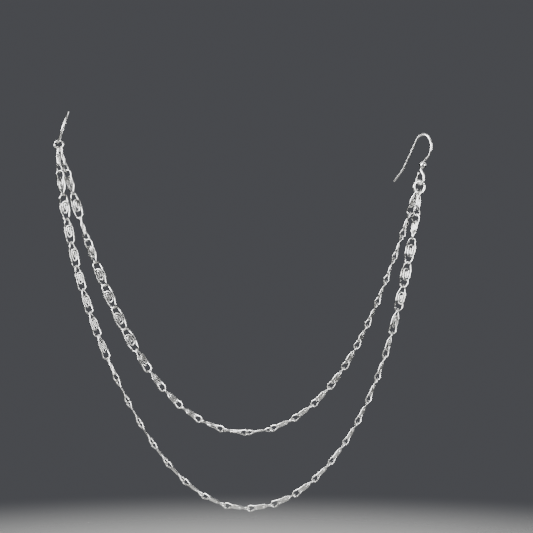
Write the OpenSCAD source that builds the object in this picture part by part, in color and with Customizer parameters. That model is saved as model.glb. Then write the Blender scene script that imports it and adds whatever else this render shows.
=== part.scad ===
// Ear to nose chain: a hook for a pierced ear and a hoop for a pierced nostril, joined by two
// hanging strands of scroll links. Millimetres, +Z up. The origin is on the underside of the ear
// hook's arch, where the lobe carries it. The strands hang toward -X, and +Y is the skin side.

/* [Scroll link] */
// Thickness of the wire that a link is bent from
link_wire = 0.42; // [0.38:0.01:0.44]
// Spacing of the links along a strand
link_pitch = 6.98; // [6.94:0.01:7.02]
// Width across the middle of a link, over the wires
link_w = 3.0; // [2.95:0.01:3.05]
// Width across the end loops of a link, over the wires
end_w = 2.62; // [2.5:0.01:2.64]
// Turn of each end loop about the link's length, in degrees
end_twist = 30; // [28:1:32]
// Straight length of each turn of the scroll
scroll_run = 1.76; // [1.6:0.02:1.84]
// Half length of the frame's straight sides
side_half = 1.2; // [1.1:0.05:1.3]
// Play where one link hooks the next
link_room = 0.15; // [0.12:0.01:0.18]

/* [Strands] */
// Distance between the two jump rings, side to side
span = 104.6; // [104:0.1:105]
// Height of the nose ring above the ear ring
rise = 12.3; // [12:0.1:12.6]
// Links in the inner strand
inner_links = 28; // [27:1:29]
// Links in the outer strand
outer_links = 34; // [33:1:35]
// Links joined in one solid, along a strand
run_links = 4; // [3:1:5]
// How far each strand stands off the middle plane
strand_apart = 0.8; // [0.75:0.05:0.9]

/* [Jump rings] */
// Outer diameter of the ring at the ear hook
ear_ring_d = 4.2; // [4.1:0.05:4.3]
// Wire of the ring at the ear hook
ear_ring_wire = 0.8; // [0.75:0.01:0.8]
// Outer diameter of the ring at the nose hoop
nose_ring_d = 3.05; // [3:0.05:3.15]
// Wire of the ring at the nose hoop
nose_ring_wire = 0.55; // [0.5:0.01:0.55]
// Width of the saw cut in each jump ring
ring_slit = 0.1; // [0.06:0.02:0.14]

/* [Ear hook] */
// Wire of the ear hook
hook_wire = 0.7; // [0.65:0.01:0.7]
// Bend radius of the front of the hook
front_r = 4.5; // [4.3:0.1:4.7]
// Bend radius of the arch that goes through the lobe
top_r = 2.3; // [2.2:0.05:2.4]
// Straight length of the tail, from the arch to its bend
tail_run = 9.4; // [9:0.1:10]
// Length of the tail's tip, past its bend
tail_tip = 4.0; // [3.6:0.1:4.4]
// Bend radius of the eye that holds the jump ring
eye_r = 1.2; // [1.18:0.01:1.25]
// Diameter of the ball bead
ball_d = 2.15; // [2:0.05:2.2]

/* [Nose hoop] */
// Outer diameter of the hoop
hoop_d = 10; // [9.6:0.1:10.4]
// Wire of the hoop
hoop_wire = 0.7; // [0.65:0.01:0.7]
// Gap between the hoop's two ends
hoop_slit = 0.3; // [0.2:0.05:0.6]

/* [Hidden] */
$fn = 32;

// Clearance between wires that rest on each other
fit = 0.04;
// Clearance between an end link and the ring that it hooks
seat_fit = 0.15;
// How deep the wires of joined links run into each other
weld = 0.06;
// A knot covers the joint of two stretches of wire, this many times as thick as the wire
knot = 1.06;

// Link proportions, to wire centres
link_half = (link_w - link_wire) / 2;
end_r = (end_w - link_wire) / 2;
scroll_turns = 3;
scroll_step = link_half / (scroll_turns + 1);
scroll_rise = 0.16;
core_tail = 0.2;
frame_join = 215;

// Steps of a bent wire are [straight run, turn, bend radius], and a turn to the left is positive
hook_lean = 115;
front_start = 30;
front_turn = -90;
arch_turn = -116.5;
tail_bend = 14.4;
hook_up = [
    [1.15, front_start, 1.5],
    [0, front_turn, front_r],
    [0, arch_turn, top_r],
    [tail_run, tail_bend, 5],
    [tail_tip, 0, 0],
];
eye_wire = [
    [1.15, -60, 0.7],
    [0.9, 35, 1.5],
    [0.95, 205, eye_r],
    [1.9, 0, 0],
];
scroll_wire = concat(
    [[scroll_run - core_tail, -180, scroll_step]],
    [for (k = [2:scroll_turns]) [scroll_run, -180, k * scroll_step]],
    [[side_half + scroll_run / 2 - scroll_rise, 0, 0]]
);

// A pose on a bent wire is [across, up, heading]
function stepped(at, s) =
    let (side = s[1] < 0 ? -1 : 1, turned = at[2] + s[1])
    [
        at[0] + s[0] * cos(at[2]) + side * s[2] * (sin(turned) - sin(at[2])),
        at[1] + s[0] * sin(at[2]) - side * s[2] * (cos(turned) - cos(at[2])),
        turned
    ];
function walked(at, steps, count) =
    count == 0 ? at : stepped(walked(at, steps, count - 1), steps[count - 1]);

// The hook is drawn from the ball's centre, and hangs from the underside of its arch
ball_up = [0, 0, hook_lean];
ball_down = [0, 0, hook_lean - 180];
arch_start = walked(ball_up, hook_up, 2);
arch_top = stepped(arch_start, [0, -arch_start[2], top_r]);
hook_seat = [arch_top[0], arch_top[1] - hook_wire / 2];
hook_yaw = 35;
eye_start = walked(ball_down, eye_wire, 2);
eye_low = stepped(eye_start, [eye_wire[2][0], 90, eye_r]);
eye_out = eye_low[0] - hook_seat[0];
eye_bottom = [-eye_out * cos(hook_yaw), eye_out * sin(hook_yaw), eye_low[1] - hook_seat[1]];

// The ear ring hangs in the eye, and the strands pull it aside
ear_ring_r = (ear_ring_d - ear_ring_wire) / 2;
ear_ring_yaw = 25;
ear_ring_swing = 18;
ear_ring_slit_at = 25;
ear_hang = ear_ring_r - (ear_ring_wire + hook_wire) / 2 - fit;
ear_ring = eye_bottom - ear_hang * [sin(ear_ring_swing), 0, cos(ear_ring_swing)];

// The nose ring hangs on the lowest point of the hoop
nose_ring_r = (nose_ring_d - nose_ring_wire) / 2;
nose_ring_slit_at = 165;
nose_ring_swing = 20;
nose_ring = ear_ring + [-span, 0, rise];
hoop_r = (hoop_d - hoop_wire) / 2;
hoop_tilt = 18;
hoop_yaw = 5.5;
hoop_slit_at = 25;
nose_hang = nose_ring_r - (nose_ring_wire + hoop_wire) / 2 - fit;
hoop_low = nose_ring + nose_hang * [-sin(nose_ring_swing), 0, cos(nose_ring_swing)];
hoop = hoop_low + hoop_r * [sin(hoop_tilt), 0, cos(hoop_tilt)];

// Where a strand starts on the nose ring and ends on the ear ring: [seat angle from the ring's
// lowest point, lean of the ring's inner side there from straight up], in degrees
NOSE = 0;
EAR = 1;
inner_seats = [[28, 20], [-36, 30]];
outer_seats = [[-25, -12], [12, -4]];
// Departure of each strand from a plain hanging curve: heights of its first four sine waves
inner_waves = [-0.15, 0.3, 0.4, -0.3];
outer_waves = [-0.7, 0.8, -1.25, -0.6];
// Which way the links face along a strand: [link number, turn about the strand's line]
inner_turns = [
    [1, 95], [2, 40], [3, -20], [4, -80], [5, -140], [6, -168], [9, -185],
    [10, -228], [11, -244], [13, -252], [15, -262], [16, -278], [17, -292], [20, -302],
    [21, -301], [22, -293], [23, -288], [26, -283], [27, -290], [28, -312],
];
outer_turns = [
    [1, 100], [2, 38], [3, 5], [4, -30], [9, -55], [10, -82], [11, -95], [13, -97],
    [17, -110], [20, -122], [21, -120], [22, -112], [27, -109], [28, -117], [29, -134],
    [30, -155], [31, -174], [32, -185], [33, -240], [34, -295],
];

// Hyperbolic functions of a plain number
function sinh(v) = (exp(v) - exp(-v)) / 2;
function cosh(v) = (exp(v) + exp(-v)) / 2;
function asinh(v) = ln(v + sqrt(v * v + 1));
function atanh(v) = ln((1 + v) / (1 - v)) / 2;

// The number whose sinh is k times as great, found by halving an interval
function slack_root(k, low = 0.001, high = 8, tries = 40) =
    let (mid = (low + high) / 2)
    tries == 0 ? mid
    : sinh(mid) / mid < k ? slack_root(k, mid, high, tries - 1)
    : slack_root(k, low, mid, tries - 1);

function waves_at(waves, part) =
    let (heights = [for (k = [0:len(waves) - 1]) waves[k] * sin(180 * (k + 1) * part)])
    heights * [for (h = heights) 1];

// Steps of the hanging curve to each link, and how soon a strand reaches its distance off the plane
samples = 6;
ease = 0.3;

// Points of the hanging curve between two ends, in the plane of X and Z
function hanging(from, to, links, waves) =
    let (
        length = links * link_pitch,
        run = to[0] - from[0],
        climb = to[2] - from[2],
        scale_a = run / 2 / slack_root(sqrt(length * length - climb * climb) / run),
        low_x = run / 2 - scale_a * atanh(climb / length),
        start = scale_a * sinh(-low_x / scale_a),
        count = links * samples
    )
    [
        for (i = [0:count])
        let (
            along = start + length * i / count,
            x = low_x + scale_a * asinh(along / scale_a),
            z = scale_a * (cosh((x - low_x) / scale_a) - cosh(low_x / scale_a)),
            slope = atan(along / scale_a),
            off = waves_at(waves, i / count)
        )
        [from[0] + x - off * sin(slope), from[2] + z + off * cos(slope)]
    ];

// Distance along a list of points, from its first point to each
function distances(points) = [
    for (i = 0, d = 0; i < len(points);
         i = i + 1, d = i < len(points) ? d + norm(points[i] - points[i - 1]) : d) d
];
function between(points, place) =
    let (k = min(floor(place), len(points) - 2))
    points[k] + (place - k) * (points[k + 1] - points[k]);

// Hooking points of a strand, one more than its links, evenly spaced along the curve
function hooks(from, to, links, waves, stand_off) =
    let (
        points = hanging(from, to, links, waves),
        far = distances(points),
        table = [for (i = [0:len(points) - 1]) [far[i], i]],
        total = far[len(far) - 1]
    )
    [
        for (j = [0:links])
        let (
            part = j / links,
            p = between(points, lookup(total * part, table)),
            y = from[1] + part * (to[1] - from[1]) + stand_off * pow(sin(180 * part), ease)
        )
        [p[0], y, p[1]]
    ];

// Where the first or last link of a strand hooks a ring
function ring_hook(centre, ring_r, wire, yaw, seat, lean) =
    let (reach = (wire - link_room) / 2 + seat_fit)
    centre
    + ring_r * [sin(seat) * cos(yaw), sin(seat) * sin(yaw), -cos(seat)]
    + reach * [sin(lean), 0, cos(lean)];
function nose_end(s) =
    ring_hook(nose_ring, nose_ring_r, nose_ring_wire, 0, s[NOSE][0], -s[NOSE][1]);
function ear_end(s) =
    ring_hook(ear_ring, ear_ring_r, ear_ring_wire, ear_ring_yaw, s[EAR][0], s[EAR][1]);

inner_hooks = hooks(
    nose_end(inner_seats), ear_end(inner_seats), inner_links, inner_waves, strand_apart);
outer_hooks = hooks(
    nose_end(outer_seats), ear_end(outer_seats), outer_links, outer_waves, -strand_apart);
inner_runs = ceil(inner_links / run_links);
outer_runs = ceil(outer_links / run_links);

silver = [0.83, 0.84, 0.86];
bright_silver = [0.9, 0.91, 0.92];
pale_silver = [0.78, 0.79, 0.81];

// Arc of wire in the plane of X and Z, round the origin, from one angle through another
module wire_arc(r, wire, from, sweep) {
    rotate([90, 0, 0]) rotate([0, 0, from])
        rotate_extrude(angle = sweep) translate([r, 0]) circle(d = wire);
}

// Wire bent in the plane of X and Z: it sets out from the origin along +X, step after step
module bent_wire(wire, steps, knots = false, i = 0) {
    run = steps[i][0];
    turn = steps[i][1];
    r = steps[i][2];
    side = turn < 0 ? -1 : 1;
    if (run > 0) rotate([0, 90, 0]) cylinder(h = run, d = wire);
    translate([run, 0, 0]) {
        if (turn != 0) translate([0, 0, side * r])
            wire_arc(r, wire, turn < 0 ? 90 + turn : -90, abs(turn));
        if (i + 1 < len(steps))
            translate([r * sin(abs(turn)), 0, side * r * (1 - cos(turn))]) {
                if (knots) sphere(d = wire * knot);
                rotate([0, -turn, 0]) bent_wire(wire, steps, knots, i + 1);
            }
    }
}

// Moves its children from the origin and +X to a pose
module posed(at) {
    translate([at[0], 0, at[1]]) rotate([0, -at[2], 0]) children();
}

// Straight wire from one point to another
module bar(from, to) {
    v = to - from;
    translate(from) rotate([0, acos(v[2] / norm(v)), atan2(v[1], v[0])])
        cylinder(h = norm(v), d = link_wire);
}

// One end of a link: the twisted end loop, and the two bars that widen to the frame's sides
module link_end(reach, left, right) {
    loop_z = reach - end_r;
    gap = sqrt(link_half * link_half + (loop_z - side_half) * (loop_z - side_half));
    taper = acos(end_r / gap) - atan2(loop_z - side_half, link_half);
    foot = [end_r * cos(taper), loop_z + end_r * sin(taper)];
    across = [cos(end_twist), sin(end_twist)];
    rotate([0, 0, end_twist]) translate([0, 0, loop_z])
        wire_arc(end_r, link_wire, taper, 180 - 2 * taper);
    for (side = [[-1, left], [1, right]]) {
        top = [side[0] * foot[0] * across[0], side[0] * foot[0] * across[1], foot[1]];
        bar(side[1], top);
        translate(top) sphere(d = link_wire * knot);
    }
}

// One link, its length along Z and its width along X: a scroll whose wire runs on into the frame
module scroll_link(up, down) {
    low = scroll_rise - scroll_run / 2;
    outer_r = scroll_turns * scroll_step;
    outer_x = outer_r - link_half;
    join = [outer_x + outer_r * cos(frame_join), 0, -low - outer_r * sin(frame_join)];
    posed([0, low + scroll_run - core_tail, -90]) bent_wire(link_wire, scroll_wire);
    translate([link_half, 0, -side_half]) cylinder(h = 2 * side_half, d = link_wire);
    for (corner = [[-1, 1], [1, 1], [1, -1]])
        translate([corner[0] * link_half, 0, corner[1] * side_half]) sphere(d = link_wire * knot);
    link_end(up, [-link_half, 0, side_half], [link_half, 0, side_half]);
    rotate([180, 0, 0]) link_end(down, join, [link_half, 0, side_half]);
}

// A link laid between two hooking points, and turned about the line between them
module laid_link(from, to, turn, joined_down, joined_up) {
    v = to - from;
    half = norm(v) / 2;
    tilt = atan2(v[0], v[2]);
    lean = atan2(v[1], norm([v[0], v[2]]));
    loose = (link_wire + link_room) / 2;
    joined = (link_wire - weld) / 2;
    translate((from + to) / 2) rotate([-lean, tilt, 0]) rotate([0, 0, turn])
        scroll_link(half + (joined_up ? joined : loose), half + (joined_down ? joined : loose));
}

// Some links of a strand, joined where they hook each other
module strand_run(hook_points, turns, number) {
    links = len(hook_points) - 1;
    first = (number - 1) * run_links;
    last = min(first + run_links, links) - 1;
    for (i = [first:last])
        laid_link(hook_points[i], hook_points[i + 1], lookup(i + 1, turns), i > first, i < last);
}

module inner_run(number) {
    color(silver) strand_run(inner_hooks, inner_turns, number);
}

module outer_run(number) {
    color(silver) strand_run(outer_hooks, outer_turns, number);
}

// A ring of wire in the plane of X and Z, cut through at one angle
module cut_ring(r, wire, slit, slit_at) {
    cut = 2 * asin(slit / 2 / r);
    wire_arc(r, wire, slit_at + cut / 2, 360 - cut);
}

module ear_jump_ring() {
    color(bright_silver) translate(ear_ring) rotate([0, 0, ear_ring_yaw])
        cut_ring(ear_ring_r, ear_ring_wire, ring_slit, ear_ring_slit_at);
}

module nose_jump_ring() {
    color(bright_silver) translate(nose_ring)
        cut_ring(nose_ring_r, nose_ring_wire, ring_slit, nose_ring_slit_at);
}

module nose_hoop() {
    color(pale_silver) translate(hoop) rotate([0, hoop_tilt, 0]) rotate([0, 0, 90 + hoop_yaw])
        cut_ring(hoop_r, hoop_wire, hoop_slit, hoop_slit_at);
}

// Turns the hook's own plane to its place under the lobe
module hung() {
    rotate([0, 0, 180 - hook_yaw]) translate([-hook_seat[0], 0, -hook_seat[1]]) children();
}

module ear_hook() {
    color(bright_silver) hung() {
        posed(ball_up) bent_wire(hook_wire, hook_up, knots = true);
        posed(ball_down) bent_wire(hook_wire, eye_wire, knots = true);
    }
}

module hook_ball() {
    color(bright_silver) hung() difference() {
        sphere(d = ball_d);
        rotate([0, 90 - hook_lean, 0])
            cylinder(h = 2 * ball_d, d = hook_wire + 2 * fit, center = true);
    }
}

ear_hook();
hook_ball();
ear_jump_ring();
nose_jump_ring();
nose_hoop();
for (k = [1:inner_runs]) inner_run(k);
for (k = [1:outer_runs]) outer_run(k);
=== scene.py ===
"""Looks of the ear to nose chain: each wire bent as its maker bends it, in silver plate."""

import math

import bmesh
import bpy
from mathutils import Matrix, Vector


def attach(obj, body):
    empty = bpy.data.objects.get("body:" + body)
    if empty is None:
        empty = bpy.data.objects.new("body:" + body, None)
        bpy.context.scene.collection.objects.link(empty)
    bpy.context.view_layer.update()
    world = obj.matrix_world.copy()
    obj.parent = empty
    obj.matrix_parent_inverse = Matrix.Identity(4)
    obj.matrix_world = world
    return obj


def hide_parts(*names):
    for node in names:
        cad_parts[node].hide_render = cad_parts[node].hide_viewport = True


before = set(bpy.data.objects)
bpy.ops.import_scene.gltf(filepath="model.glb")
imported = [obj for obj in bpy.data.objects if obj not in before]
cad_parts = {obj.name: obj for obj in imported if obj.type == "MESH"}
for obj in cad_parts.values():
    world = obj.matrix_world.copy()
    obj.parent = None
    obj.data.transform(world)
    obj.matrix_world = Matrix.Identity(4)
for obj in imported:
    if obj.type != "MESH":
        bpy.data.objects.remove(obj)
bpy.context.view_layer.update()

# Sizes are in millimetres and angles in degrees until a mesh is made
MM = 0.001
BODY = "root"

# Scroll link, as the part's source has it
LINK_WIRE = 0.42
LINK_PITCH = 6.98
LINK_HALF = (3.0 - LINK_WIRE) / 2
END_R = (2.62 - LINK_WIRE) / 2
END_TWIST = 30
SCROLL_TURNS = 3
SCROLL_STEP = LINK_HALF / (SCROLL_TURNS + 1)
SCROLL_RUN = 1.76
SCROLL_RISE = 0.16
CORE_TAIL = 0.2
FRAME_JOIN = 215
SIDE_HALF = 1.2
# Links in one run, and the air between two wires that hook each other
RUN_LINKS = 4
HOOK_AIR = 0.03

# How wire is drawn. Degrees of bend from one point of its line to the next:
LINK_STEP = 9
RING_STEP = 6
HOOK_STEP = 5
# Corners are eased at points of this pitch, each the mean of this many neighbours on either side
LINK_EASE = (0.07, 3)
HOOK_EASE = (0.12, 2)
# Then a point is kept after this much bend or this much straight run
LINK_KEEP = (13, 0.9)
HOOK_KEEP = (5, 1.2)
# Sides of the wire's round
LINK_SIDES = 12
THICK_SIDES = 24
# Its ends are domes: places on the dome in degrees, and its depth as a share of the wire's radius,
# full on a link, nearly flat where a ring is sawn, and filed on the hook
DOME_STEPS = (25, 50, 70)
LINK_DOME = 1.0
RING_DOME = 0.12
HOOK_DOME = 0.6

# Rings and the hoop
EAR_RING_R = 1.7
EAR_RING_WIRE = 0.8
EAR_RING_YAW = 25
EAR_RING_SWING = 18
EAR_RING_SLIT_AT = 25
NOSE_RING_R = 1.25
NOSE_RING_WIRE = 0.55
NOSE_RING_SWING = 20
NOSE_RING_SLIT_AT = 165
RING_SLIT = 0.1
# The CAD's mesh has small flats, so rings are drawn this much thinner to stay inside its box
RING_SHY = 0.02
HOOP_R = 4.65
HOOP_WIRE = 0.7
HOOP_TILT = 18
HOOP_YAW = 5.5
HOOP_SLIT_AT = 25
HOOP_SLIT = 0.3
# Air where a ring hangs on a wire
FIT = 0.04

# Ear hook: each part of its wire is (straight run, turn, bend radius), a turn to the left positive
HOOK_WIRE = 0.7
HOOK_LEAN = 115
HOOK_YAW = 35
TOP_R = 2.3
HOOK_UP = [(1.15, 30, 1.5), (0, -90, 4.5), (0, -116.5, TOP_R), (9.4, 14.4, 5), (4.0, 0, 0)]
EYE_R = 1.2
EYE_DOWN = [(1.15, -60, 0.7), (0.9, 35, 1.5), (0.95, 205, EYE_R), (1.9, 0, 0)]
BALL_R = 2.15 / 2
BALL_BORE_R = 0.4
BALL_LIP = 0.08
# Steps from one lip to the other and round, and how near points have to be to be one
BALL_STEPS = 22
BALL_SPIN = 48
WELD = 0.001

# Strands: the nose ring stands this far along and above the ear ring
SPAN = 104.6
RISE = 12.3
# Play of an end link on its ring, and how far its seat is moved in so that the wires stay apart
LINK_ROOM = 0.15
SEAT_FIT = 0.15
# Points of the hanging curve for each link
SAMPLES = 6
# Each strand stands this far off the middle plane, and a low power of a sine parts them early
STRAND_APART = 0.8
EASE = 0.3
# Halvings that find the curve's slack, and the range that they start from
HALVINGS = 40
SLACK_RANGE = (0.001, 8)
# Seat angle on the ring and lean of its inner side there, at the nose and the ear, the heights of
# the sine waves that bend the hanging curve, and the rows (link, turn) of how the links face
INNER = {
    "name": "inner_run_",
    "links": 28,
    "nose": (28, 20),
    "ear": (-36, 30),
    "waves": (-0.15, 0.3, 0.4, -0.3),
    "apart": STRAND_APART,
    "turns": [(1, 95), (2, 40), (3, -20), (4, -80), (5, -140), (6, -168), (9, -185),
              (10, -228), (11, -244), (13, -252), (15, -262), (16, -278), (17, -292), (20, -302),
              (21, -301), (22, -293), (23, -288), (26, -283), (27, -290), (28, -312)],
}
OUTER = {
    "name": "outer_run_",
    "links": 34,
    "nose": (-25, -12),
    "ear": (12, -4),
    "waves": (-0.7, 0.8, -1.25, -0.6),
    "apart": -STRAND_APART,
    "turns": [(1, 100), (2, 38), (3, 5), (4, -30), (9, -55), (10, -82), (11, -95), (13, -97),
              (17, -110), (20, -122), (21, -120), (22, -112), (27, -109), (28, -117), (29, -134),
              (30, -155), (31, -174), (32, -185), (33, -240), (34, -295)],
}

# Photograph: its width in pixels, its scale, and the pixel where the hook's arch rests
PHOTO_PX = 533
MM_PER_PX = 0.29
SEAT_PX = (423.1, 135.7)
LENS_MM = 135
SENSOR_MM = 36
FLOOR_Z = -128
FLOOR_SIDES = 96
# In metres: how far from its middle the floor starts to fade and where it ends, the middle of the
# chain, and the nearest that the camera sees
FLOOR_FADE = 0.03
FLOOR_R = 0.22
CHAIN_MIDDLE = (-0.05, 0, -0.045)
NEAREST = 0.01

# Finish of the silver: width of a tarnish cloud and height of a tumbling mark in millimetres, the
# part of the noise over which a cloud fades, and how far roughness strays either way
CLOUD_MM = 2.5
MARK_HIGH_MM = 0.02
CLOUD_EDGE = (0.35, 0.6)
GLOSS_SPREAD = 0.15


def sind(angle):
    return math.sin(math.radians(angle))


def cosd(angle):
    return math.cos(math.radians(angle))


def linear(hex_colour):
    """An sRGB hex colour as linear RGBA."""
    parts = [int(hex_colour[i:i + 2], 16) / 255 for i in (1, 3, 5)]
    return tuple(p / 12.92 if p <= 0.04045 else ((p + 0.055) / 1.055) ** 2.4 for p in parts) + (1,)


# Wire bending

def bent(at, steps, fine=LINK_STEP):
    """Centreline of wire bent flat in X and Z, from (x, z, heading) through each step's
    (run, turn, radius), and where it ends."""
    x, z, heading = at
    line = [Vector((x, 0, z))]
    for run, turn, radius in steps:
        x += run * cosd(heading)
        z += run * sind(heading)
        if run > 0:
            line.append(Vector((x, 0, z)))
        side = -1 if turn < 0 else 1
        centre_x = x - side * radius * sind(heading)
        centre_z = z + side * radius * cosd(heading)
        parts = math.ceil(abs(turn) / fine)
        for i in range(1, parts + 1):
            now = heading + turn * i / parts
            line.append(Vector((centre_x + side * radius * sind(now), 0,
                                centre_z - side * radius * cosd(now))))
        x, z, heading = line[-1].x, line[-1].z, heading + turn
    return line, (x, z, heading)


def arc(radius, start, sweep, fine=LINK_STEP):
    """Arc in X and Z round the origin, from one angle through another."""
    parts = math.ceil(abs(sweep) / fine)
    angles = [start + sweep * i / parts for i in range(parts + 1)]
    return [Vector((radius * cosd(a), 0, radius * sind(a))) for a in angles]


def softened(line, pitch, reach):
    """The line with its corners eased as a plier's jaws leave them: even points, each the mean of
    its neighbours within reach."""
    far = [0]
    for a, b in zip(line, line[1:]):
        far.append(far[-1] + (b - a).length)
    count = round(far[-1] / pitch)
    even = []
    k = 0
    for i in range(count + 1):
        d = far[-1] * i / count
        while k < len(line) - 2 and far[k + 1] < d:
            k += 1
        even.append(line[k].lerp(line[k + 1], (d - far[k]) / max(far[k + 1] - far[k], 1e-9)))
    eased = []
    for i in range(count + 1):
        span = min(reach, i, count - i)
        near = even[i - span:i + span + 1]
        eased.append(sum(near, Vector()) / len(near))
    return eased


def thinned(line, turn, stride):
    """Keeps a point where the line has turned this far, or run this far, since the last one."""
    kept = [line[0]]
    heading = line[1] - line[0]
    for here, ahead in zip(line[1:], line[2:]):
        step = ahead - here
        if math.degrees(heading.angle(step)) > turn or (here - kept[-1]).length > stride:
            kept.append(here)
            heading = step
    return kept + [line[-1]]


def draw_wire(bm, line, wire, sides, dome):
    """Draws round wire along the line by extruding one ring of it, and rounds off both ends."""
    radius = wire / 2
    rim = [(1 - cosd(a), sind(a)) for a in DOME_STEPS]
    first = (line[0] - line[1]).normalized()
    last = (line[-1] - line[-2]).normalized()
    depth = radius * dome
    stops = [(line[0] - first * depth * back, radius * size) for back, size in rim]
    stops += [(p, radius) for p in (line[0] - first * depth, *line[1:-1], line[-1] - last * depth)]
    stops += [(line[-1] - last * depth * back, radius * size) for back, size in reversed(rim)]

    ways = [b[0] - a[0] for a, b in zip(stops, stops[1:])]
    between = [a.normalized() + b.normalized() for a, b in zip(ways, ways[1:])]
    ways = [ways[0]] + between + [ways[-1]]
    turned = Vector((0, 0, 1)).rotation_difference(ways[0])
    places = []
    for i, (stop, size) in enumerate(stops):
        if i:
            turned = ways[i - 1].rotation_difference(ways[i]) @ turned
        places.append(Matrix.LocRotScale(stop, turned, (size, size, size)))

    ring = bmesh.ops.create_circle(bm, segments=sides, radius=1, matrix=places[0])["verts"]
    edges = list(dict.fromkeys(e for v in ring for e in v.link_edges))
    bmesh.ops.edgeloop_fill(bm, edges=edges)
    for before, after in zip(places, places[1:]):
        grown = bmesh.ops.extrude_edge_only(bm, edges=edges)["geom"]
        edges = [g for g in grown if isinstance(g, bmesh.types.BMEdge)]
        ring = [g for g in grown if isinstance(g, bmesh.types.BMVert)]
        bmesh.ops.transform(bm, matrix=after @ before.inverted(), verts=ring)
    bmesh.ops.edgeloop_fill(bm, edges=edges)


def as_mesh(name, bm, material):
    """Turns the bmesh into a mesh of one material."""
    mesh = bpy.data.meshes.new(name)
    bm.to_mesh(mesh)
    bm.free()
    mesh.materials.append(material)
    return mesh


def as_object(name, data):
    """Puts a mesh, light or camera into the scene."""
    obj = bpy.data.objects.new(name, data)
    bpy.context.scene.collection.objects.link(obj)
    return obj


def piece(name, bm, node, material):
    """Turns the bmesh, in millimetres, into an object that takes its CAD node's place."""
    bmesh.ops.recalc_face_normals(bm, faces=bm.faces)
    bmesh.ops.scale(bm, vec=(MM, MM, MM), verts=bm.verts)
    mesh = as_mesh(name, bm, material)
    mesh.polygons.foreach_set("use_smooth", [True] * len(mesh.polygons))
    obj = as_object(name, mesh)
    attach(obj, BODY)
    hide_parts(node)


# Places of the hook, the rings and the hoop

_, arch_start = bent((0, 0, HOOK_LEAN), HOOK_UP[:2])
_, arch_top = bent(arch_start, [(0, -arch_start[2], TOP_R)])
_, eye_start = bent((0, 0, HOOK_LEAN - 180), EYE_DOWN[:2])
_, eye_low = bent(eye_start, [(EYE_DOWN[2][0], 90, EYE_R)])
HUNG = Matrix.Rotation(math.radians(180 - HOOK_YAW), 4, "Z") @ Matrix.Translation(
    (-arch_top[0], 0, HOOK_WIRE / 2 - arch_top[1]))
EYE_BOTTOM = HUNG @ Vector((eye_low[0], 0, eye_low[1]))
EAR_RING = EYE_BOTTOM - (EAR_RING_R - (EAR_RING_WIRE + HOOK_WIRE) / 2 - FIT) * Vector(
    (sind(EAR_RING_SWING), 0, cosd(EAR_RING_SWING)))
NOSE_RING = EAR_RING + Vector((-SPAN, 0, RISE))
HOOP = NOSE_RING + (NOSE_RING_R - (NOSE_RING_WIRE + HOOP_WIRE) / 2 - FIT) * Vector(
    (-sind(NOSE_RING_SWING), 0, cosd(NOSE_RING_SWING))) + HOOP_R * Vector(
    (sind(HOOP_TILT), 0, cosd(HOOP_TILT)))


# Hanging strands

def row_value(rows, at):
    """Value between the rows (place, value) on either side."""
    for (a, va), (b, vb) in zip(rows, rows[1:]):
        if at <= b:
            return va + (vb - va) * (at - a) / (b - a)
    return rows[-1][1]


def slack_root(k):
    """The number whose sinh is k times the number."""
    low, high = SLACK_RANGE
    for _ in range(HALVINGS):
        mid = (low + high) / 2
        low, high = (mid, high) if math.sinh(mid) / mid < k else (low, mid)
    return (low + high) / 2


def hanging(start, end, length, waves, count):
    """Points of the curve that a chain takes between two ends, bent a little by sine waves."""
    run = end.x - start.x
    climb = end.z - start.z
    a = run / 2 / slack_root(math.sqrt(length ** 2 - climb ** 2) / run)
    low_x = run / 2 - a * math.atanh(climb / length)
    begin = a * math.sinh(-low_x / a)
    points = []
    for i in range(count + 1):
        along = begin + length * i / count
        x = low_x + a * math.asinh(along / a)
        z = a * (math.cosh((x - low_x) / a) - math.cosh(low_x / a))
        slope = math.degrees(math.atan(along / a))
        off = sum(w * sind(180 * (k + 1) * i / count) for k, w in enumerate(waves))
        points.append(Vector((start.x + x - off * sind(slope), 0,
                              start.z + z + off * cosd(slope))))
    return points


def ring_hook(centre, ring_r, wire, yaw, seat, lean):
    """Where an end link hooks a ring: seat is the angle from its lowest point, and the link stands
    off the ring's wire towards lean."""
    reach = (wire - LINK_ROOM) / 2 + SEAT_FIT
    return centre + ring_r * Vector(
        (sind(seat) * cosd(yaw), sind(seat) * sind(yaw), -cosd(seat))) + reach * Vector(
        (sind(lean), 0, cosd(lean)))


def hooks(strand):
    """Hooking points of a strand, from the nose to the ear."""
    links = strand["links"]
    nose_seat, nose_lean = strand["nose"]
    ear_seat, ear_lean = strand["ear"]
    start = ring_hook(NOSE_RING, NOSE_RING_R, NOSE_RING_WIRE, 0, nose_seat, -nose_lean)
    end = ring_hook(EAR_RING, EAR_RING_R, EAR_RING_WIRE, EAR_RING_YAW, ear_seat, ear_lean)
    curve = hanging(start, end, links * LINK_PITCH, strand["waves"], links * SAMPLES)
    far = [0]
    for a, b in zip(curve, curve[1:]):
        far.append(far[-1] + (b - a).length)
    points = []
    for j in range(links + 1):
        part = j / links
        place = row_value(list(zip(far, range(len(far)))), far[-1] * part)
        k = min(int(place), len(curve) - 2)
        point = curve[k].lerp(curve[k + 1], place - k)
        lift = strand["apart"] * max(sind(180 * part), 0) ** EASE
        point.y = start.y + part * (end.y - start.y) + lift
        points.append(point)
    return points


# Scroll link

def end_loop(reach):
    """Loop at the upper end of a link, twisted about its length, from left foot to right foot."""
    loop_z = reach - END_R
    taper = math.degrees(math.acos(END_R / math.hypot(LINK_HALF, loop_z - SIDE_HALF))
                         - math.atan2(loop_z - SIDE_HALF, LINK_HALF))
    twist = Matrix.Rotation(math.radians(END_TWIST), 3, "Z")
    loop = arc(END_R, 180 - taper, 2 * taper - 180)
    return [twist @ (p + Vector((0, 0, loop_z))) for p in loop]


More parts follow.
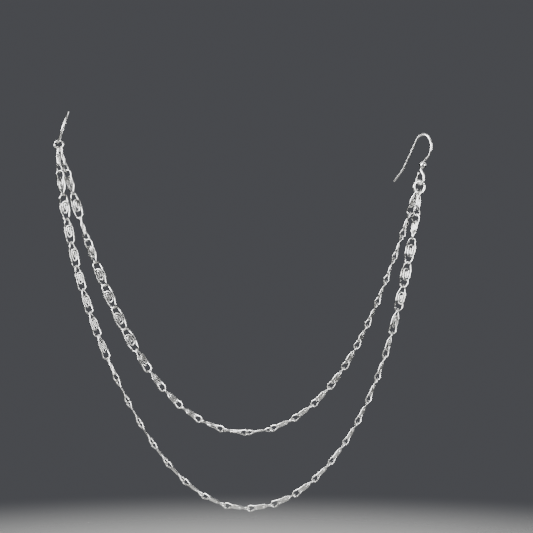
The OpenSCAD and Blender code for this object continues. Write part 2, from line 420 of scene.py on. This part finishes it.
def link_line(up, down):
    """Centreline of one link, length along Z: from the scroll's core round the frame and back."""
    low = SCROLL_RISE - SCROLL_RUN / 2
    scroll = [(SCROLL_RUN - CORE_TAIL, -180, SCROLL_STEP)]
    scroll += [(SCROLL_RUN, -180, k * SCROLL_STEP) for k in range(2, SCROLL_TURNS + 1)]
    scroll += [(SIDE_HALF - SCROLL_RISE + SCROLL_RUN / 2, 0, 0)]
    line, _ = bent((0, low + SCROLL_RUN - CORE_TAIL, -90), scroll)
    outer_r = SCROLL_TURNS * SCROLL_STEP
    join = Vector((outer_r - LINK_HALF + outer_r * cosd(FRAME_JOIN), 0,
                   low + outer_r * sind(FRAME_JOIN)))
    over = Matrix.Rotation(math.pi, 3, "X")
    line += end_loop(up)
    line += [Vector((LINK_HALF, 0, SIDE_HALF)), Vector((LINK_HALF, 0, -SIDE_HALF))]
    line += [over @ p for p in reversed(end_loop(down))]
    line += [join]
    return thinned(softened(line, *LINK_EASE), *LINK_KEEP)


def link_run(strand, points, number, material):
    """The links of one run, each a wire of its own that hooks the next."""
    bm = bmesh.new()
    first = (number - 1) * RUN_LINKS
    for i in range(first, min(first + RUN_LINKS, strand["links"])):
        way = points[i + 1] - points[i]
        tilt = math.atan2(way.x, way.z)
        lean = math.atan2(way.y, math.hypot(way.x, way.z))
        turn = math.radians(row_value(strand["turns"], i + 1))
        laid = (Matrix.Translation((points[i] + points[i + 1]) / 2)
                @ Matrix.Rotation(tilt, 4, "Y") @ Matrix.Rotation(-lean, 4, "X")
                @ Matrix.Rotation(turn, 4, "Z"))
        at_ring_down = i == 0
        at_ring_up = i == strand["links"] - 1
        reach = [way.length / 2 + (LINK_WIRE + (LINK_ROOM if ring else HOOK_AIR)) / 2
                 for ring in (at_ring_up, at_ring_down)]
        line = [laid @ p for p in link_line(*reach)]
        draw_wire(bm, line, LINK_WIRE, LINK_SIDES, LINK_DOME)
    name = strand["name"] + str(number)
    piece(name + "_links", bm, name, material)


# Rings, hoop, hook and ball

def cut_ring(name, radius, wire, slit, slit_at, place, material):
    """A ring of wire, sawn through at one place and closed again."""
    bm = bmesh.new()
    gap = math.degrees(slit / radius)
    line = [place @ p for p in arc(radius, slit_at + gap / 2, 360 - gap, RING_STEP)]
    draw_wire(bm, line, wire - RING_SHY, THICK_SIDES, RING_DOME)
    piece(name + "_wire", bm, name, material)


def bent_hook(material):
    """The ear hook's wire, from the tail's tip over the arch and through the ball to the eye."""
    upper, _ = bent((0, 0, HOOK_LEAN), HOOK_UP, HOOK_STEP)
    lower, _ = bent((0, 0, HOOK_LEAN - 180), EYE_DOWN, HOOK_STEP)
    line = softened([HUNG @ p for p in upper[::-1] + lower[1:]], *HOOK_EASE)
    bm = bmesh.new()
    draw_wire(bm, thinned(line, *HOOK_KEEP), HOOK_WIRE, THICK_SIDES, HOOK_DOME)
    piece("ear_hook_wire", bm, "ear_hook", material)


def bead(material):
    """The ball: its outline, with the rounded lips of its bore, spun about the wire."""
    mouth = math.degrees(math.asin((BALL_BORE_R + BALL_LIP) / BALL_R))
    angles = [mouth + (180 - 2 * mouth) * i / BALL_STEPS for i in range(BALL_STEPS + 1)]
    outline = [(BALL_R * sind(a), BALL_R * cosd(a)) for a in angles]
    edge = BALL_R * cosd(mouth) - BALL_LIP
    outline += [(BALL_BORE_R, -edge), (BALL_BORE_R, 0), (BALL_BORE_R, edge)]
    bm = bmesh.new()
    verts = [bm.verts.new((x, 0, z)) for x, z in outline]
    edges = [bm.edges.new((a, b)) for a, b in zip(verts, verts[1:] + verts[:1])]
    bmesh.ops.spin(bm, geom=verts + edges, cent=(0, 0, 0), axis=(0, 0, 1), dvec=(0, 0, 0),
                   angle=2 * math.pi, steps=BALL_SPIN, use_merge=True, use_duplicate=False)
    bmesh.ops.remove_doubles(bm, verts=bm.verts, dist=WELD)
    stand = HUNG @ Matrix.Rotation(math.radians(90 - HOOK_LEAN), 4, "Y")
    bmesh.ops.transform(bm, matrix=stand, verts=bm.verts)
    piece("hook_ball_bead", bm, "hook_ball", material)


# Finishes

def add(tree, kind, settings=None, **links):
    """Adds a node, sets its properties and links its inputs, each given as node and output."""
    node = tree.nodes.new(kind)
    for key, value in (settings or {}).items():
        if hasattr(node, key):
            setattr(node, key, value)
        else:
            node.inputs[key].default_value = value
    for key, (source, output) in links.items():
        tree.links.new(source.outputs[output], node.inputs[key.replace("_", " ")])
    return node


def silver_plate(name, tint, dull, roughness, mark_mm, mark_depth):
    """Silver plate over brass wire, drawn, bent and tumbled to a mirror: a bright, nearly neutral
    white metal, with hairline tumbling marks and a breath of tarnish where fingers don't rub."""
    material = bpy.data.materials.new(name)
    material.use_nodes = True
    tree = material.node_tree
    shader = tree.nodes["Principled BSDF"]
    shader.inputs["Metallic"].default_value = 1
    place = add(tree, "ShaderNodeTexCoord")
    # Tarnish gathers in clouds a few millimetres across
    cloud = add(tree, "ShaderNodeTexNoise", {"Scale": 1 / (CLOUD_MM * MM), "Detail": 3},
                Vector=(place, "Object"))
    colour = add(tree, "ShaderNodeValToRGB", Fac=(cloud, "Fac"))
    for stop, position, tone in zip(colour.color_ramp.elements, CLOUD_EDGE, (dull, tint)):
        stop.position = position
        stop.color = linear(tone)
    tree.links.new(colour.outputs["Color"], shader.inputs["Base Color"])
    # Real tumbling marks are a few hundredths of a millimetre wide, finer than a pixel shows, so
    # they are drawn several times as wide
    marks = add(tree, "ShaderNodeTexNoise", {"Scale": 1 / (mark_mm * MM), "Detail": 4},
                Vector=(place, "Object"))
    gloss = add(tree, "ShaderNodeMapRange", {"To Min": roughness * (1 - GLOSS_SPREAD),
                                             "To Max": roughness * (1 + GLOSS_SPREAD)},
                Value=(marks, "Fac"))
    tree.links.new(gloss.outputs["Result"], shader.inputs["Roughness"])
    dent = add(tree, "ShaderNodeBump", {"Strength": mark_depth, "Distance": MARK_HIGH_MM * MM},
               Height=(marks, "Fac"))
    tree.links.new(dent.outputs["Normal"], shader.inputs["Normal"])
    return material


# Barrel-tumbled links: a soft mirror whose windings stay apart, each with a light and a dark side
LINK_SILVER = silver_plate("tumbled_silver_plate_links", tint="#F4F4F2", dull="#D5D4D0",
                           roughness=0.2, mark_mm=0.12, mark_depth=0.06)
# Jump rings sawn off a coil: the same plate, a shade duller from the pliers
RING_SILVER = silver_plate("sawn_silver_plate_rings", tint="#F2F2F0", dull="#D1D0CC",
                           roughness=0.21, mark_mm=0.15, mark_depth=0.04)
# Drawn wire of the hook and the hoop: one long smooth highlight along each bend
HOOK_SILVER = silver_plate("drawn_silver_plate_hook", tint="#F6F6F4", dull="#DDDCD9",
                           roughness=0.26, mark_mm=0.4, mark_depth=0.01)
# Burnished bead: a clear mirror with sharp highlights
BALL_SILVER = silver_plate("burnished_silver_ball", tint="#F8F8F6", dull="#E3E2DF",
                           roughness=0.11, mark_mm=0.3, mark_depth=0.01)

for strand in (INNER, OUTER):
    hook_points = hooks(strand)
    for number in range(1, math.ceil(strand["links"] / RUN_LINKS) + 1):
        link_run(strand, hook_points, number, LINK_SILVER)
cut_ring("ear_jump_ring", EAR_RING_R, EAR_RING_WIRE, RING_SLIT, EAR_RING_SLIT_AT,
         Matrix.Translation(EAR_RING) @ Matrix.Rotation(math.radians(EAR_RING_YAW), 4, "Z"),
         RING_SILVER)
cut_ring("nose_jump_ring", NOSE_RING_R, NOSE_RING_WIRE, RING_SLIT, NOSE_RING_SLIT_AT,
         Matrix.Translation(NOSE_RING), RING_SILVER)
cut_ring("nose_hoop", HOOP_R, HOOP_WIRE, HOOP_SLIT, HOOP_SLIT_AT,
         Matrix.Translation(HOOP) @ Matrix.Rotation(math.radians(HOOP_TILT), 4, "Y")
         @ Matrix.Rotation(math.radians(90 + HOOP_YAW), 4, "Z"), HOOK_SILVER)
bent_hook(HOOK_SILVER)
bead(BALL_SILVER)


# Stage

def pale_floor():
    """A pale sheet of paper below the chain, whose edge fades into the backdrop."""
    # Matt paper: no highlight of its own, so the eye stays on the silver
    paper = bpy.data.materials.new("matt_pale_grey_paper")
    paper.use_nodes = True
    tree = paper.node_tree
    shader = tree.nodes["Principled BSDF"]
    shader.inputs["Base Color"].default_value = linear("#A6A6A4")
    shader.inputs["Roughness"].default_value = 0.9
    place = add(tree, "ShaderNodeTexCoord")
    centred = add(tree, "ShaderNodeMapping", {"Location": (-CHAIN_MIDDLE[0], 0, -FLOOR_Z * MM)},
                  Vector=(place, "Object"))
    far = add(tree, "ShaderNodeVectorMath", {"operation": "LENGTH"}, Vector=(centred, "Vector"))
    fade = add(tree, "ShaderNodeMapRange",
               {"interpolation_type": "SMOOTHSTEP", "From Min": FLOOR_FADE, "From Max": FLOOR_R,
                "To Min": 1.0, "To Max": 0.0},
               Value=(far, "Value"))
    tree.links.new(fade.outputs["Result"], shader.inputs["Alpha"])
    bm = bmesh.new()
    bmesh.ops.create_circle(bm, cap_ends=True, segments=FLOOR_SIDES, radius=FLOOR_R,
                            matrix=Matrix.Translation((CHAIN_MIDDLE[0], 0, FLOOR_Z * MM)))
    as_object("floor", as_mesh("floor", bm, paper))


def softbox(name, place, size, watts):
    """A square area light that looks at the middle of the chain."""
    light = bpy.data.lights.new(name, "AREA")
    light.size = size
    light.energy = watts
    lamp = as_object(name, light)
    lamp.location = place
    aim = Vector(CHAIN_MIDDLE) - lamp.location
    lamp.rotation_euler = aim.to_track_quat("-Z", "Y").to_euler()
    lamp.visible_camera = False


def backdrop(camera_tone, room_tone):
    """The world: a plain grey behind the chain, and a darker room in its reflections."""
    world = bpy.data.worlds.new("studio")
    world.use_nodes = True
    tree = world.node_tree
    room = tree.nodes["Background"]
    room.inputs["Color"].default_value = linear(room_tone)
    plain = add(tree, "ShaderNodeBackground", {"Color": linear(camera_tone)})
    path = add(tree, "ShaderNodeLightPath")
    mix = add(tree, "ShaderNodeMixShader")
    tree.links.new(path.outputs["Is Camera Ray"], mix.inputs["Fac"])
    tree.links.new(room.outputs["Background"], mix.inputs[1])
    tree.links.new(plain.outputs["Background"], mix.inputs[2])
    tree.links.new(mix.outputs["Shader"], tree.nodes["World Output"].inputs["Surface"])
    bpy.context.scene.world = world


def camera():
    """Square on to the plane of the strands, at the distance from which a long lens sees the
    photograph's width."""
    width = PHOTO_PX * MM_PER_PX * MM
    middle_x = (PHOTO_PX / 2 - SEAT_PX[0]) * MM_PER_PX * MM
    middle_z = (SEAT_PX[1] - PHOTO_PX / 2) * MM_PER_PX * MM
    lens = bpy.data.cameras.new("camera")
    lens.lens = LENS_MM
    lens.sensor_width = SENSOR_MM
    lens.clip_start = NEAREST
    eye = as_object("camera", lens)
    eye.location = (middle_x, -width * LENS_MM / SENSOR_MM, middle_z)
    eye.rotation_euler = (math.radians(90), 0, 0)
    bpy.context.scene.camera = eye


pale_floor()
# Large softboxes, so that every winding has a broad light side
softbox("key", (-0.6, -0.65, 0.25), size=0.65, watts=20)
softbox("fill", (0.8, -0.4, 0.05), size=0.5, watts=10)
softbox("top", (-0.1, -0.45, 0.65), size=0.45, watts=6)
softbox("back", (0.3, 0.7, 0.3), size=0.6, watts=3)
backdrop(camera_tone="#4C4D51", room_tone="#26282B")
camera()
